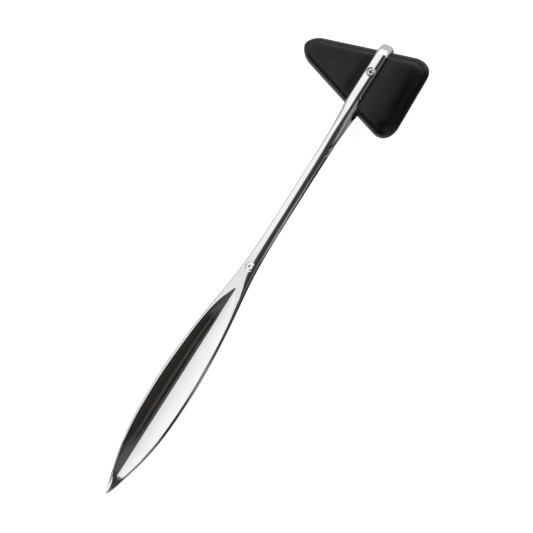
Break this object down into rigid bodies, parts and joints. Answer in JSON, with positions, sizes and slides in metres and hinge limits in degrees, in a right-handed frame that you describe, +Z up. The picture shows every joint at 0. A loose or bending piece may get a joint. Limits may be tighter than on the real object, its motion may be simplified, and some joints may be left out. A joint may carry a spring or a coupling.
{
  "type": "reflex hammer",
  "caption": "Tomahawk reflex hammer: a rubber wedge clamped by a screw in the flat eye of a chromed handle that ends in a hollowed, pointed leaf.",
  "frame": {"origin": "middle of the box's bottom face, on the surface that the hammer lies on", "axes": "+X along the handle from the pointed tip to the eye, +Y towards the narrow end of the rubber, +Z up, out of the front face; the hammer lies on its back, tipped so that its blade and the back of its eye touch the surface"},
  "size_m": [0.202, 0.0472, 0.0212],
  "materials": {
    "chrome": "polished chrome plate",
    "rubber": "matte moulded rubber",
    "screw_steel": "plated, lightly worn",
    "spring_steel": "satin"
  },
  "bodies": {
    "hammer": {"handle": "chrome", "rubber_head": "rubber"},
    "washer": {"lock_washer": "spring_steel"},
    "screw": {"clamp_screw": "screw_steel"}
  },
  "joints": [
    {"name": "screw_travel", "type": "slide", "parent": "hammer", "child": "washer", "axis": [-0.051, 0, 0.9987], "range_m": [0, 0.0019]},
    {"name": "screw_turn", "type": "hinge", "parent": "washer", "child": "screw", "pos_m": [0.0855, -0.00455, 0.02088], "axis": [-0.051, 0, 0.9987], "range_deg": [0, 1710.5]}
  ],
  "couplings": [
    {"joint": "screw_turn", "follows": "screw_travel", "rad_per_m": 15708}
  ]
}
